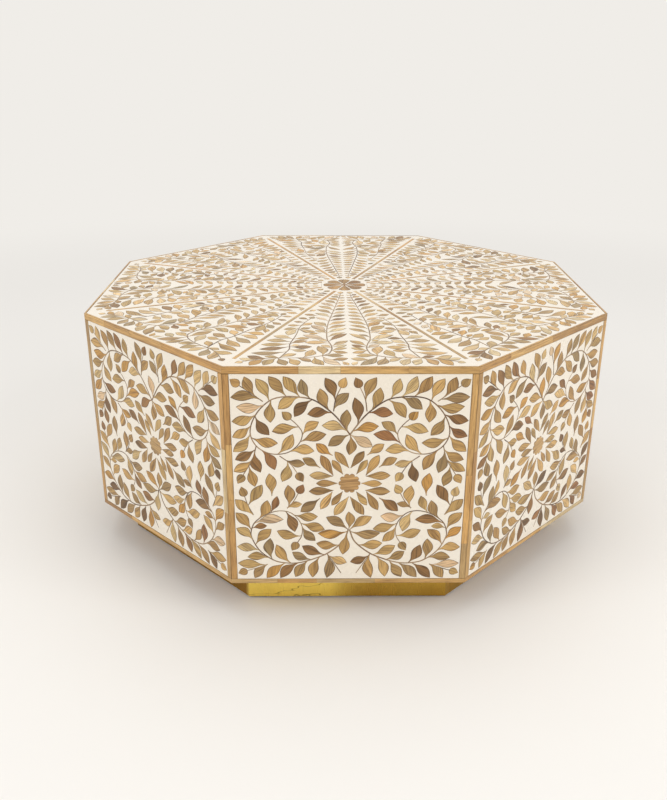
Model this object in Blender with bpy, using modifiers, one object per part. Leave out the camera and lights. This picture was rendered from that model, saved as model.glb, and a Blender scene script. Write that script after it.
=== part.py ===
"""Octagonal drum table with leaf-scroll inlay on a recessed, brass-clad plinth.

Metres, +Z up, origin on the floor under the centre, facet 1 facing -Y.
Facets are numbered anticlockwise seen from above: 1 front, 3 right, 5 back, 7 left.
"""
import math

import bmesh
import bpy
from mathutils import Vector
from mathutils.geometry import delaunay_2d_cdt

# Overall sizes
SIDES = 8
ACROSS_FLATS = 0.914
HEIGHT = 0.441

# Plinth
PLINTH_HEIGHT = 0.066
PLINTH_RECESS = 0.053
PLINTH_BOARD = 0.018
BRASS_THICKNESS = 0.001
GLIDE_HEIGHT = 0.003
GLIDE_DIAMETER = 0.014
GLIDE_TAPER = 0.001
GLIDE_FACETS = 16
GLIDE_COUNT = 4

# Carcass boards and wooden edging
SIDE_BOARD = 0.018
TOP_BOARD = 0.018
BASE_BOARD = 0.018
INLAY_DEPTH = 0.004
TOP_STRIP = 0.0112
BOTTOM_STRIP = 0.0083
SIDE_STRIP = 0.0098
RIM_CHAMFER = 0.0006

# Table top
ROSETTE_APOTHEM = 0.044
ROSETTE_HUB_RADIUS = 0.006
ROSETTE_PETAL_WIDTH = 0.0195
DIVIDER_WIDTH = 0.0066
DIVIDER_SETBACK = 0.034

# Inlay chips, ground nearly flush with the resin round them
CHIP_RELIEF = 0.0004
CHIP_GAP = 0.0012
FOOT_GAP = 0.0020
FIELD_MARGIN = 0.004
STEM_WIDTH = 0.0024
SIDE_LEAF_LENGTH = 0.037
SIDE_LEAF_WIDTH = 0.0155
SIDE_LEAF_PITCH = 0.026
TOP_LEAF_LENGTH = 0.029
TOP_LEAF_WIDTH = 0.0115
TOP_LEAF_PITCH = 0.029
PETAL_LENGTH = 0.034
PETAL_WIDTH = 0.0135
FLOWER_RADIUS = 0.017
LEAF_SPLAY = math.radians(48)

# Gap left between pieces that touch on the real table
CLEARANCE = 0.0003

# A leaf chip as shares of its length and width, from its foot round to its tip
LEAF_SHAPE = [(0, 0), (0.45, -0.5), (1, 0), (0.45, 0.5)]
# A rosette petal in the same way: broad towards its rounded end, close to its neighbours
ROSETTE_PETAL_SHAPE = [(0, 0), (0.64, -0.5), (0.92, -0.32), (1, 0), (0.92, 0.32), (0.64, 0.5)]

# Half of each motif's scroll stem, drawn by hand and mirrored across the field.
# On a side panel the shares are of the field's half width and half height.
SIDE_STEM = [
    (0.02, 0.46), (0.26, 0.73), (0.58, 0.79), (0.82, 0.54), (0.62, 0.27), (0.42, 0.44), (0.53, 0.60),
]
# On a wedge of the top both shares are of the core's apothem: across, then outwards.
TOP_STEM = [(0.19, 0.70), (0.265, 0.79), (0.16, 0.87), (0.085, 0.68), (0.016, 0.122)]

# Places that follow from the sizes
HALF_SECTOR = math.pi / SIDES
APOTHEM = ACROSS_FLATS / 2
CORE_APOTHEM = APOTHEM - INLAY_DEPTH
CORE_TOP = HEIGHT - INLAY_DEPTH
SHEET_THICKNESS = INLAY_DEPTH - CLEARANCE
FIELD_LOW = PLINTH_HEIGHT + BOTTOM_STRIP + CLEARANCE
FIELD_HIGH = HEIGHT - TOP_STRIP - CLEARANCE
FIELD_HALF_WIDTH = APOTHEM * math.tan(HALF_SECTOR) - SIDE_STRIP - CLEARANCE
FIELD_HALF_HEIGHT = (FIELD_HIGH - FIELD_LOW) / 2
PLINTH_APOTHEM = APOTHEM - PLINTH_RECESS
PLINTH_CORE_APOTHEM = PLINTH_APOTHEM - BRASS_THICKNESS - CLEARANCE
PLINTH_LOW = GLIDE_HEIGHT + CLEARANCE
PLINTH_HIGH = PLINTH_HEIGHT - CLEARANCE


def finish(name, colour, roughness, metallic=0.0):
    material = bpy.data.materials.new(name)
    material.use_nodes = True
    shader = material.node_tree.nodes["Principled BSDF"]
    shader.inputs["Base Color"].default_value = (*colour, 1)
    shader.inputs["Roughness"].default_value = roughness
    shader.inputs["Metallic"].default_value = metallic
    return material


for old_object in list(bpy.data.objects):
    bpy.data.objects.remove(old_object, do_unlink=True)
PARTS = bpy.data.collections.new("inlaid_drum_table")
bpy.context.scene.collection.children.link(PARTS)
CENTRE = bpy.data.objects.new("table_centre", None)
PARTS.objects.link(CENTRE)

CARCASS_WOOD = finish("carcass_wood", (0.36, 0.24, 0.13), 0.6)
EDGING_WOOD = finish("edging_wood", (0.42, 0.23, 0.09), 0.35)
INLAY_RESIN = finish("inlay_resin", (0.80, 0.76, 0.68), 0.25)
PLINTH_BRASS = finish("plinth_brass", (0.74, 0.52, 0.22), 0.3, 1.0)
GLIDE_PLASTIC = finish("glide_plastic", (0.05, 0.045, 0.04), 0.5)


def slab(name, outlines, low, high):
    """Mesh of flat outlines extruded between two heights; an outline inside another is a hole."""
    curve = bpy.data.curves.new(name, "CURVE")
    curve.dimensions = "2D"
    curve.fill_mode = "BOTH"
    curve.extrude = (high - low) / 2
    for outline in outlines:
        spline = curve.splines.new("POLY")
        spline.points.add(len(outline) - 1)
        for point, place in zip(spline.points, outline):
            point.co = (place[0], place[1], 0, 1)
        spline.use_cyclic_u = True
    drawing = bpy.data.objects.new(name, curve)
    PARTS.objects.link(drawing)
    mesh = evaluated_mesh(drawing)
    bpy.data.objects.remove(drawing)

    solid = bmesh.new()
    solid.from_mesh(mesh)
    bmesh.ops.remove_doubles(solid, verts=solid.verts, dist=CLEARANCE / 100)
    bmesh.ops.translate(solid, verts=solid.verts, vec=(0, 0, (low + high) / 2))
    bmesh.ops.recalc_face_normals(solid, faces=solid.faces)
    flat = math.radians(0.2)
    bmesh.ops.dissolve_limit(solid, angle_limit=flat, verts=solid.verts, edges=solid.edges)
    solid.to_mesh(mesh)
    solid.free()
    return mesh


def evaluated_mesh(piece):
    graph = bpy.context.evaluated_depsgraph_get()
    graph.update()
    return bpy.data.meshes.new_from_object(piece.evaluated_get(graph))


def add_piece(name, mesh, material, location=(0, 0, 0), rotation=(0, 0, 0)):
    if not mesh.materials:
        mesh.materials.append(material)
    piece = bpy.data.objects.new(name, mesh)
    piece.location = location
    piece.rotation_euler = rotation
    piece.parent = CENTRE
    PARTS.objects.link(piece)
    return piece


def add_ring(name, mesh, material, reach=0.0, height=0.0, tilt=0.0, turn=0.0, count=SIDES):
    """Numbered copies of one mesh round the table, the first one facing the front."""
    for index in range(count):
        angle = turn + index * math.tau / count
        place = (reach * math.sin(angle), -reach * math.cos(angle), height)
        add_piece(f"{name}_{index + 1}", mesh, material, place, (tilt, 0, angle))


def polygon(apothem):
    """Eight-sided outline with one flat side towards the front."""
    radius = apothem / math.cos(HALF_SECTOR)
    angles = [(2 * k + 1) * HALF_SECTOR - math.pi / 2 for k in range(SIDES)]
    return [Vector((radius * math.cos(a), radius * math.sin(a))) for a in angles]


def mitred_board(outer_apothem, thickness):
    """Plan of one board of an eight-sided box, mitred to meet its neighbours."""
    mitre_gap = CLEARANCE / 2 / math.cos(HALF_SECTOR)
    outer = outer_apothem * math.tan(HALF_SECTOR) - mitre_gap
    inner = (outer_apothem - thickness) * math.tan(HALF_SECTOR) - mitre_gap
    return [(-outer, -outer_apothem), (outer, -outer_apothem),
            (inner, thickness - outer_apothem), (-inner, thickness - outer_apothem)]


def chamfer(piece):
    bevel = piece.modifiers.new("chamfer", "BEVEL")
    bevel.width = RIM_CHAMFER
    bevel.segments = 1
    bevel.limit_method = "ANGLE"
    bevel.angle_limit = math.radians(60)


# Leaf-scroll motif

def smooth_path(points, steps=2):
    """Catmull-Rom curve through hand-drawn points."""
    guides = [2 * points[0] - points[1], *points, 2 * points[-1] - points[-2]]
    path = []
    for a, b, c, d in zip(guides, guides[1:], guides[2:], guides[3:]):
        for step in range(steps):
            t = step / steps
            curve = (2 * a - 5 * b + 4 * c - d) * t ** 2 + (3 * b - a - 3 * c + d) * t ** 3
            path.append((2 * b + (c - a) * t + curve) / 2)
    return path + [points[-1]]


def stem_edges(path):
    """The two edges of a stem along a path."""
    left, right = [], []
    for before, point, after in zip(path[:1] + path, path, path[1:] + path[-1:]):
        along = after - before
        across = Vector((-along.y, along.x)).normalized() * STEM_WIDTH / 2
        left.append(point + across)
        right.append(point - across)
    return left, right


def leaf(foot, heading, length, width, shape):
    along = Vector((math.cos(heading), math.sin(heading)))
    across = Vector((-along.y, along.x))
    return [foot + along * (a * length) + across * (b * width) for a, b in shape]


def edge_distances(outline, point):
    """How far a point lies outside each edge of an anticlockwise convex outline."""
    for start, end in zip(outline, outline[1:] + outline[:1]):
        edge = (end - start).normalized()
        yield (point - start).dot(Vector((edge.y, -edge.x)))


def gap_between(first, second):
    """Clear width between two convex outlines, negative where they overlap."""
    widths = []
    for outline, other in ((first, second), (second, first)):
        by_point = [list(edge_distances(outline, point)) for point in other]
        widths.append(max(min(column) for column in zip(*by_point)))
    return max(widths)


def has_room(chip, room, taken):
    inside = all(max(edge_distances(room, point)) <= 0 for point in chip)
    return inside and all(gap_between(chip, other) >= CHIP_GAP for other in taken)


def along_path(path, pitch):
    """Points one pitch apart along a path, each with the way the path runs there."""
    ahead = pitch
    for start, end in zip(path, path[1:]):
        run = end - start
        while ahead <= run.length:
            yield start + run * (ahead / run.length), run.normalized()
            ahead += pitch
        ahead -= run.length


def leafy_stem(path, length, width, pitch, room, taken):
    """A stem with leaves to its left and right by turns, each where there is room for it."""
    left, right = stem_edges(path)
    taken = taken + [list(link) for link in zip(right, right[1:], left[1:], left)]
    leaves = []
    side = 1
    for point, along in along_path(path, pitch):
        across = Vector((-along.y, along.x)) * side
        heading = math.atan2(along.y, along.x) + side * LEAF_SPLAY
        foot = point + across * (STEM_WIDTH / 2 + FOOT_GAP)
        chip = leaf(foot, heading, length, width, LEAF_SHAPE)
        if has_room(chip, room, taken + leaves):
            leaves.append(chip)
        side = -side
    return [left[::-1] + right] + leaves


def mirrored(chips, x=1, y=1):
    """Chips mirrored across an axis, still running anticlockwise."""
    copies = [[Vector((x * p.x, y * p.y)) for p in chip] for chip in chips]
    return copies if x * y > 0 else [copy[::-1] for copy in copies]


def petals(foot_radius, length, width, shape):
    """A ring of petals, one to each side of the table."""
    angles = [2 * k * HALF_SECTOR - math.pi / 2 for k in range(SIDES)]
    feet = [foot_radius * Vector((math.cos(a), math.sin(a))) for a in angles]
    return [leaf(foot, angle, length, width, shape) for foot, angle in zip(feet, angles)]


def box_outline(low_x, low_y, high_x, high_y):
    return [Vector((low_x, low_y)), Vector((high_x, low_y)),
            Vector((high_x, high_y)), Vector((low_x, high_y))]


def side_chips():
    """One flower with four leafy scrolls, mirrored left to right and top to bottom."""
    flower = [polygon(FLOWER_RADIUS)]
    flower += petals(FLOWER_RADIUS + FOOT_GAP, PETAL_LENGTH, PETAL_WIDTH, LEAF_SHAPE)
    room = box_outline(CHIP_GAP / 2, CHIP_GAP / 2,
                       FIELD_HALF_WIDTH - FIELD_MARGIN, FIELD_HALF_HEIGHT - FIELD_MARGIN)
    points = [Vector((x * FIELD_HALF_WIDTH, y * FIELD_HALF_HEIGHT)) for x, y in SIDE_STEM]
    quarter = leafy_stem(smooth_path(points), SIDE_LEAF_LENGTH, SIDE_LEAF_WIDTH,
                         SIDE_LEAF_PITCH, room, flower)
    chips = list(flower)
    for x, y in ((1, 1), (-1, 1), (-1, -1), (1, -1)):
        chips += mirrored(quarter, x, y)
    return chips


def wedge_point(outward, inset):
    """A point on the wedge's right edge, this far along the diagonal and inside it."""
    along = Vector((math.sin(HALF_SECTOR), -math.cos(HALF_SECTOR)))
    inward = Vector((-math.cos(HALF_SECTOR), -math.sin(HALF_SECTOR)))
    return along * outward + inward * inset


def wedge_level(reach, inset):
    """The point on the wedge's right edge at a given distance towards the front."""
    outward = (reach - inset * math.sin(HALF_SECTOR)) / math.cos(HALF_SECTOR)
    return wedge_point(outward, inset)


DIVIDER_INSET = DIVIDER_WIDTH / 2 + CLEARANCE
DIVIDER_INNER = ROSETTE_APOTHEM / math.cos(HALF_SECTOR) + CLEARANCE
DIVIDER_OUTER = CORE_APOTHEM / math.cos(HALF_SECTOR) - DIVIDER_SETBACK


def wedge_outline():
    """One resin wedge of the top, stepped round the ends of its dividers."""
    right = [
        wedge_level(ROSETTE_APOTHEM + CLEARANCE, DIVIDER_INSET),
        wedge_point(DIVIDER_OUTER + CLEARANCE, DIVIDER_INSET),
        wedge_point(DIVIDER_OUTER + CLEARANCE, CLEARANCE / 2),
        wedge_level(CORE_APOTHEM, CLEARANCE / 2),
    ]
    return right[::-1] + mirrored([right[::-1]], x=-1)[0]


def top_chips():
    """Two leafy stems that curl out of the rim and run in to the rosette."""
    margin = DIVIDER_INSET + FIELD_MARGIN
    inner = ROSETTE_APOTHEM + CLEARANCE + FIELD_MARGIN
    outer = CORE_APOTHEM - FIELD_MARGIN
    room = [Vector((CHIP_GAP / 2, -outer)), wedge_level(outer, margin),
            wedge_level(inner, margin), Vector((CHIP_GAP / 2, -inner))]
    points = [Vector((x * CORE_APOTHEM, -y * CORE_APOTHEM)) for x, y in TOP_STEM]
    half = leafy_stem(smooth_path(points), TOP_LEAF_LENGTH, TOP_LEAF_WIDTH,
                      TOP_LEAF_PITCH, room, [])
    return half + mirrored(half, x=-1)


def rosette_chips():
    """A small hub in a ring of broad petals."""
    foot_radius = ROSETTE_HUB_RADIUS + FOOT_GAP
    length = ROSETTE_APOTHEM - FIELD_MARGIN - foot_radius
    ring = petals(foot_radius, length, ROSETTE_PETAL_WIDTH, ROSETTE_PETAL_SHAPE)
    return [polygon(ROSETTE_HUB_RADIUS)] + ring


def inlaid_sheet(name, outline, chips):
    """A resin sheet with its chips standing CHIP_RELIEF proud of it, as one body."""
    rings = [outline, *chips]
    points = [point for ring in rings for point in ring]
    numbers = iter(range(len(points)))
    loops = [[next(numbers) for _ in ring] for ring in rings]
    inside_only = 1
    flat = delaunay_2d_cdt(points, [], loops, inside_only, CLEARANCE / 1000)
    places, triangles, owners = flat[0], flat[2], flat[5]

    solid = bmesh.new()
    resin_top = SHEET_THICKNESS - CHIP_RELIEF
    corners = [solid.verts.new((place.x, place.y, resin_top)) for place in places]
    faces = [solid.faces.new([corners[k] for k in triangle]) for triangle in triangles]
    chip_faces = [face for face, owner in zip(faces, owners) if len(owner) > 1]

    rim = [edge for edge in solid.edges if edge.is_boundary]
    walls = bmesh.ops.extrude_edge_only(solid, edges=rim)["geom"]
    lower = [item for item in walls if isinstance(item, bmesh.types.BMVert)]
    bmesh.ops.translate(solid, verts=lower, vec=(0, 0, -resin_top))
    bmesh.ops.holes_fill(solid, edges=[edge for edge in solid.edges if edge.is_boundary])

    raised = bmesh.ops.extrude_face_region(solid, geom=chip_faces)["geom"]
    upper = [item for item in raised if isinstance(item, bmesh.types.BMVert)]
    bmesh.ops.translate(solid, verts=upper, vec=(0, 0, CHIP_RELIEF))
    bmesh.ops.delete(solid, geom=[face for face in chip_faces if face.is_valid], context="FACES_ONLY")
    bmesh.ops.recalc_face_normals(solid, faces=solid.faces)

    mesh = bpy.data.meshes.new(name)
    solid.to_mesh(mesh)
    solid.free()
    return mesh


# Carcass: a base board, mitred sides standing on it and a top board over them

def build_carcass():
    core = polygon(CORE_APOTHEM)
    base_top = PLINTH_HEIGHT + BASE_BOARD
    add_piece("base_board", slab("base_board", [core], PLINTH_HEIGHT, base_top), CARCASS_WOOD)
    sides = slab("side_board", [mitred_board(CORE_APOTHEM, SIDE_BOARD)],
                 base_top + CLEARANCE, CORE_TOP - TOP_BOARD - CLEARANCE)
    add_ring("side_board", sides, CARCASS_WOOD)
    add_piece("top_board", slab("top_board", [core], CORE_TOP - TOP_BOARD, CORE_TOP), CARCASS_WOOD)


def build_plinth():
    board = slab("plinth_board", [mitred_board(PLINTH_CORE_APOTHEM, PLINTH_BOARD)],
                 PLINTH_LOW, PLINTH_HIGH)
    add_ring("plinth_board", board, CARCASS_WOOD)
    band = slab("brass_band", [polygon(PLINTH_APOTHEM), polygon(PLINTH_CORE_APOTHEM + CLEARANCE)],
                PLINTH_LOW, PLINTH_HIGH)
    add_piece("brass_band", band, PLINTH_BRASS)


def build_glides():
    glide = bmesh.new()
    bmesh.ops.create_cone(glide, cap_ends=True, segments=GLIDE_FACETS, depth=GLIDE_HEIGHT,
                          radius1=GLIDE_DIAMETER / 2 - GLIDE_TAPER, radius2=GLIDE_DIAMETER / 2)
    mesh = bpy.data.meshes.new("glide")
    glide.to_mesh(mesh)
    glide.free()
    add_ring("glide", mesh, GLIDE_PLASTIC, reach=PLINTH_CORE_APOTHEM - PLINTH_BOARD / 2,
             height=GLIDE_HEIGHT / 2, count=GLIDE_COUNT)


# Wooden edging round the inlaid fields

def build_edging():
    outlines = [polygon(APOTHEM), polygon(CORE_APOTHEM + CLEARANCE)]
    chamfer(add_piece("top_rim", slab("top_rim", outlines, HEIGHT - TOP_STRIP, HEIGHT), EDGING_WOOD))
    chamfer(add_piece("bottom_rim", slab("bottom_rim", outlines, PLINTH_HEIGHT,
                                         PLINTH_HEIGHT + BOTTOM_STRIP), EDGING_WOOD))

    # Strip bent round an upright corner, drawn with the corner towards the front
    face = Vector((math.cos(HALF_SECTOR), math.sin(HALF_SECTOR)))
    inward = Vector((-math.sin(HALF_SECTOR), math.cos(HALF_SECTOR)))
    corner = Vector((0, -APOTHEM / math.cos(HALF_SECTOR)))
    back_corner = Vector((0, -(APOTHEM - SHEET_THICKNESS) / math.cos(HALF_SECTOR)))
    front_end = corner + face * SIDE_STRIP
    back_end = front_end + inward * SHEET_THICKNESS
    outline = [corner, front_end, back_end, back_corner,
               *mirrored([[front_end, back_end]], x=-1)[0]]
    strip = slab("corner_strip", [outline], FIELD_LOW, FIELD_HIGH)
    add_ring("corner_strip", strip, EDGING_WOOD, turn=HALF_SECTOR)


# Inlay: eight side panels, eight wedges of the top with dividers between, and the rosette

def build_inlay():
    field = box_outline(-FIELD_HALF_WIDTH, -FIELD_HALF_HEIGHT, FIELD_HALF_WIDTH, FIELD_HALF_HEIGHT)
    add_ring("side_inlay", inlaid_sheet("side_inlay", field, side_chips()), INLAY_RESIN,
             reach=CORE_APOTHEM + CLEARANCE, height=(FIELD_LOW + FIELD_HIGH) / 2, tilt=math.pi / 2)

    sheet_low = CORE_TOP + CLEARANCE
    add_ring("top_inlay", inlaid_sheet("top_inlay", wedge_outline(), top_chips()), INLAY_RESIN,
             height=sheet_low)
    divider = slab("top_divider", [box_outline(-DIVIDER_WIDTH / 2, -DIVIDER_OUTER,
                                               DIVIDER_WIDTH / 2, -DIVIDER_INNER)],
                   sheet_low, HEIGHT)
    add_ring("top_divider", divider, EDGING_WOOD, turn=HALF_SECTOR)
    rosette = inlaid_sheet("top_rosette", polygon(ROSETTE_APOTHEM), rosette_chips())
    add_piece("top_rosette", rosette, INLAY_RESIN, location=(0, 0, sheet_low))


build_plinth()
build_glides()
build_carcass()
build_edging()
build_inlay()
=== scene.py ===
import math
import random

import bpy
import numpy as np
from mathutils import Matrix, Vector, noise


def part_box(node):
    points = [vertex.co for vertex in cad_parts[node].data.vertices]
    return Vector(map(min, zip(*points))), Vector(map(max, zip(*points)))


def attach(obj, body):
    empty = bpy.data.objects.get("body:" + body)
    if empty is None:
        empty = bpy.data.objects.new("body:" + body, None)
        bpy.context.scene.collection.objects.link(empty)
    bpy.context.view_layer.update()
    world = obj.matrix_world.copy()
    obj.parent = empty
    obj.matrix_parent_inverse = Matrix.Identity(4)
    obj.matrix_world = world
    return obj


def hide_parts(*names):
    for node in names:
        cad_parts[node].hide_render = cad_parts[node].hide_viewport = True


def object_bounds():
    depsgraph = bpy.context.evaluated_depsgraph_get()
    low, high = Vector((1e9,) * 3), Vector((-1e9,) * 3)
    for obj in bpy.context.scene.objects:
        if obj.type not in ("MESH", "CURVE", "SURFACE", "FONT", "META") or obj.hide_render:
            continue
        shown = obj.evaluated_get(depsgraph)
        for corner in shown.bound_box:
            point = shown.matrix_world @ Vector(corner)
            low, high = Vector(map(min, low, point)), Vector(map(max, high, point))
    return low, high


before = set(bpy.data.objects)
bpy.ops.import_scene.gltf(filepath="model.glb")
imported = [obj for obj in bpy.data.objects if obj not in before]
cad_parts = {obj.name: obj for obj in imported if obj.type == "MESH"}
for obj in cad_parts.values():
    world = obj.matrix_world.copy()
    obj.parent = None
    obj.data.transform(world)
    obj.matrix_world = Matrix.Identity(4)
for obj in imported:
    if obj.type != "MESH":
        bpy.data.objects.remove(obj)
cadBox = [list(corner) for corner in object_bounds()]
print("frame loaded:", len(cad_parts), "nodes")

# Places read off the frame, in metres
mm = 0.001
sides = 8
halfSector = math.pi / sides
apothem = cadBox[1][0]
topZ = cadBox[1][2]
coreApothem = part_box("top_board")[1].x
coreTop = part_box("top_board")[1].z
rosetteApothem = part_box("top_rosette")[1].x
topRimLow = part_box("top_rim")[0].z
bottomRimLow, bottomRimHigh = (corner.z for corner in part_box("bottom_rim"))
fieldLow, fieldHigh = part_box("side_inlay_1")
fieldHalfWidth = fieldHigh.x
fieldHalfHeight = (fieldHigh.z - fieldLow.z) / 2
fieldCentreZ = (fieldHigh.z + fieldLow.z) / 2
mitre = math.tan(halfSector)
halfFace = apothem * mitre
seam = 0.3 * mm  # a glue line


def facetTurn(index):
    return index * 2 * halfSector


def alongFace(turn):
    return Vector((math.cos(turn), math.sin(turn), 0))


def outOfFace(turn):
    return Vector((math.sin(turn), -math.cos(turn), 0))


def clamped(value):
    return min(1.0, max(0.0, value))


def tint(red, green, blue):
    # 0-255 screen colour to the linear colour that a shader takes
    def linear(value):
        value /= 255
        return value / 12.92 if value <= 0.04045 else ((value + 0.055) / 1.055) ** 2.4
    return (linear(red), linear(green), linear(blue), 1)


# Shader helpers

class Wire:
    # a socket that takes part in plain arithmetic
    def __init__(self, finish, socket):
        self.finish = finish
        self.socket = socket

    def maths(self, operation, first, second):
        return self.finish.node("ShaderNodeMath", {"operation": operation}, {0: first, 1: second})

    def __add__(self, other):
        return self.maths("ADD", self, other)

    def __sub__(self, other):
        return self.maths("SUBTRACT", self, other)

    def __rsub__(self, other):
        return self.maths("SUBTRACT", other, self)

    def __mul__(self, other):
        return self.maths("MULTIPLY", self, other)

    __radd__ = __add__
    __rmul__ = __mul__


class Finish:
    # a material, or the world, and the nodes that feed its shader
    def __init__(self, owner):
        self.owner = owner
        owner.use_nodes = True
        self.tree = owner.node_tree
        self.shader = self.tree.nodes.get("Principled BSDF")

    def node(self, kind, settings=None, inputs=None, output=0):
        made = self.tree.nodes.new(kind)
        for key, value in (settings or {}).items():
            if key == "stops":
                self.setStops(made.color_ramp, value)
            else:
                setattr(made, key, value)
        for key, value in (inputs or {}).items():
            self.feed(made.inputs[key], value)
        return Wire(self, made.outputs[output])

    def setStops(self, ramp, stops):
        while len(ramp.elements) < len(stops):
            ramp.elements.new(1)
        for element, (place, colour) in zip(ramp.elements, stops):
            element.position = place
            element.color = colour if hasattr(colour, "__len__") else (colour, colour, colour, 1)

    def feed(self, socket, value):
        if isinstance(value, Wire):
            self.tree.links.new(value.socket, socket)
        else:
            socket.default_value = value

    def set(self, **values):
        for key, value in values.items():
            words = "".join(" " + letter if letter.isupper() else letter for letter in key)
            self.feed(self.shader.inputs[words.title()], value)

    def place(self):
        return self.node("ShaderNodeTexCoord", output=3)

    def grain(self):
        return self.node("ShaderNodeUVMap", {"uv_map": "grain"})

    def attribute(self, name, output=0):
        return self.node("ShaderNodeAttribute", {"attribute_name": name}, output=output)

    def stretch(self, vector, x, y, z=1.0):
        return self.node("ShaderNodeVectorMath", {"operation": "MULTIPLY"}, {0: vector, 1: (x, y, z)})

    def noise(self, vector, scale=1.0, detail=3.0, roughness=0.55):
        values = {"Vector": vector, "Scale": scale, "Detail": detail, "Roughness": roughness}
        return self.node("ShaderNodeTexNoise", inputs=values)

    def ramp(self, value, *stops):
        return self.node("ShaderNodeValToRGB", {"stops": stops}, {0: value})

    def mix(self, factor, first, second, blend="MIX"):
        settings = {"data_type": "RGBA", "blend_type": blend}
        return self.node("ShaderNodeMix", settings, {0: factor, 6: first, 7: second}, output=2)

    def bump(self, height, strength, distance):
        values = {"Height": height, "Strength": strength, "Distance": distance}
        self.set(normal=self.node("ShaderNodeBump", inputs=values))

    def show(self, output, factor, first, second):
        # the surface is one shader or another
        blend = self.node("ShaderNodeMixShader", inputs={0: factor, 1: first, 2: second})
        self.feed(self.tree.nodes[output].inputs["Surface"], blend)


def newFinish(name):
    return Finish(bpy.data.materials.new(name))


# Finishes

def resinFinish():
    look = {"ivory": tint(240, 231, 216), "cream": tint(232, 219, 198), "haze": tint(246, 240, 230),
            "creamShare": 0.45, "hazeShare": 0.35, "gloss": 0.2, "coat": 0.3, "coatRoughness": 0.12,
            "cloudScale": 7, "fleckScale": 160, "waveScale": 26, "smearScale": 55, "relief": 0.4 * mm}
    finish = newFinish("inlayResin")
    place = finish.place()
    cloud = finish.ramp(finish.noise(place, look["cloudScale"], detail=4), (0.35, 0.0), (0.7, 1.0))
    fleck = finish.ramp(finish.noise(place, look["fleckScale"]), (0.56, 0.0), (0.72, 1.0))
    base = finish.mix(cloud * look["creamShare"], look["ivory"], look["cream"])
    wave = finish.noise(place, look["waveScale"], detail=2)
    smear = finish.noise(place, look["smearScale"], detail=4)
    finish.set(baseColor=finish.mix(fleck * look["hazeShare"], base, look["haze"]))
    finish.set(roughness=smear * 0.16 + look["gloss"])
    finish.set(coatWeight=look["coat"], coatRoughness=look["coatRoughness"])
    finish.bump(wave + smear * 0.15, strength=0.12, distance=look["relief"])
    return finish.owner


woodLook = {
    # how closely each kind of streak follows the last along the grain and across it, in one pitch
    "fine": (0.06, 1), "broad": (0.02, 0.24), "pores": (0.12, 2.6),
    # the rim colour is a dark glue line with painted shade along the edges of chips and blocks
    "bandShare": 0.8, "poreShare": 0.7, "pore": (0.62, 0.52, 0.42, 1), "rim": tint(74, 50, 30),
    "coat": 0.1, "coatRoughness": 0.2, "relief": 0.15 * mm,
}


def woodFinish(name, pitch, contrast, gloss, rimShade):
    # the grain runs along U of the grain map; the tone attribute is each chip's own colour
    look = woodLook
    finish = newFinish(name)
    grain = finish.grain()

    def streaks(kind, detail, roughness):
        along, across = look[kind]
        drawn = finish.stretch(grain, along / pitch, across / pitch)
        return finish.noise(drawn, detail=detail, roughness=roughness)

    fine, broad, pores = streaks("fine", 4, 0.6), streaks("broad", 3, 0.5), streaks("pores", 2, 0.5)
    low = 1 - contrast
    lines = finish.ramp(fine, (0.34, (low, low * 0.93, low * 0.85, 1)), (0.5, 0.93), (0.64, 1.08))
    bands = finish.ramp(broad, (0.32, (low * 1.1, low, low * 0.92, 1)), (0.52, 1.0), (0.7, 1.1))
    dashes = finish.ramp(pores, (0.6, 1.0), (0.7, look["pore"]))
    colour = finish.mix(1.0, finish.attribute("tone"), lines, "MULTIPLY")
    colour = finish.mix(look["bandShare"], colour, bands, "MULTIPLY")
    colour = finish.mix(look["poreShare"], colour, dashes, "MULTIPLY")
    # the dark rim on each chip's edge is partly a dark glue line and partly painted shade along the edge
    rim = finish.attribute("rim", output=2)
    colour = finish.mix(rim * rimShade, colour, look["rim"])
    finish.set(baseColor=colour, roughness=fine * 0.2 + gloss)
    finish.set(coatWeight=look["coat"], coatRoughness=look["coatRoughness"])
    finish.bump(fine + pores * 0.4, strength=0.16, distance=look["relief"])
    return finish.owner


def brassFinish():
    # the per-sheet attribute tells one sheet of brass from the next by painted light and shade: each sheet
    # mixes a lit and a shaded brass colour
    look = {"litBrass": tint(255, 226, 112), "dull": tint(170, 126, 46), "stain": tint(140, 100, 40),
            "crease": tint(110, 74, 22), "stainShare": 0.4, "creaseShare": 0.75, "gloss": 0.2,
            "cloudScale": 12, "stainScale": 46, "dimpleScale": 60, "rub": (520, 520, 26),
            "ripple": (9, 9, 30), "relief": 0.6 * mm}
    finish = newFinish("plinthBrass")
    place = finish.place()
    polish = finish.attribute("polish", output=2)
    cloud = finish.noise(place, look["cloudScale"], detail=3) * 0.5 - 0.25
    blotches = finish.noise(place, look["stainScale"], detail=5, roughness=0.65)
    stain = finish.ramp(blotches, (0.58, 0.0), (0.74, 1.0))
    rubbed = finish.noise(finish.stretch(place, *look["rub"]), detail=3, roughness=0.6)
    ripple = finish.noise(finish.stretch(place, *look["ripple"]), detail=3)
    # dark lines along the creases, shown only on lit sheets: painted shade in the creases
    crease = finish.ramp(ripple, (0.485, 0.0), (0.495, 1.0), (0.505, 0.0)) * polish
    # painted light and shade: lit sheets take the lit brass colour, shaded sheets the shaded one
    base = finish.mix(polish + cloud, look["dull"], look["litBrass"])
    base = finish.mix(stain * look["stainShare"], base, look["stain"])
    finish.set(baseColor=finish.mix(crease * look["creaseShare"], base, look["crease"]), metallic=1.0)
    finish.set(roughness=rubbed * 0.18 + stain * 0.14 + look["gloss"])
    dimples = finish.noise(place, look["dimpleScale"], detail=2)
    finish.bump(dimples + rubbed * 0.04 - crease * 0.3, strength=0.3, distance=look["relief"])
    return finish.owner


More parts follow.
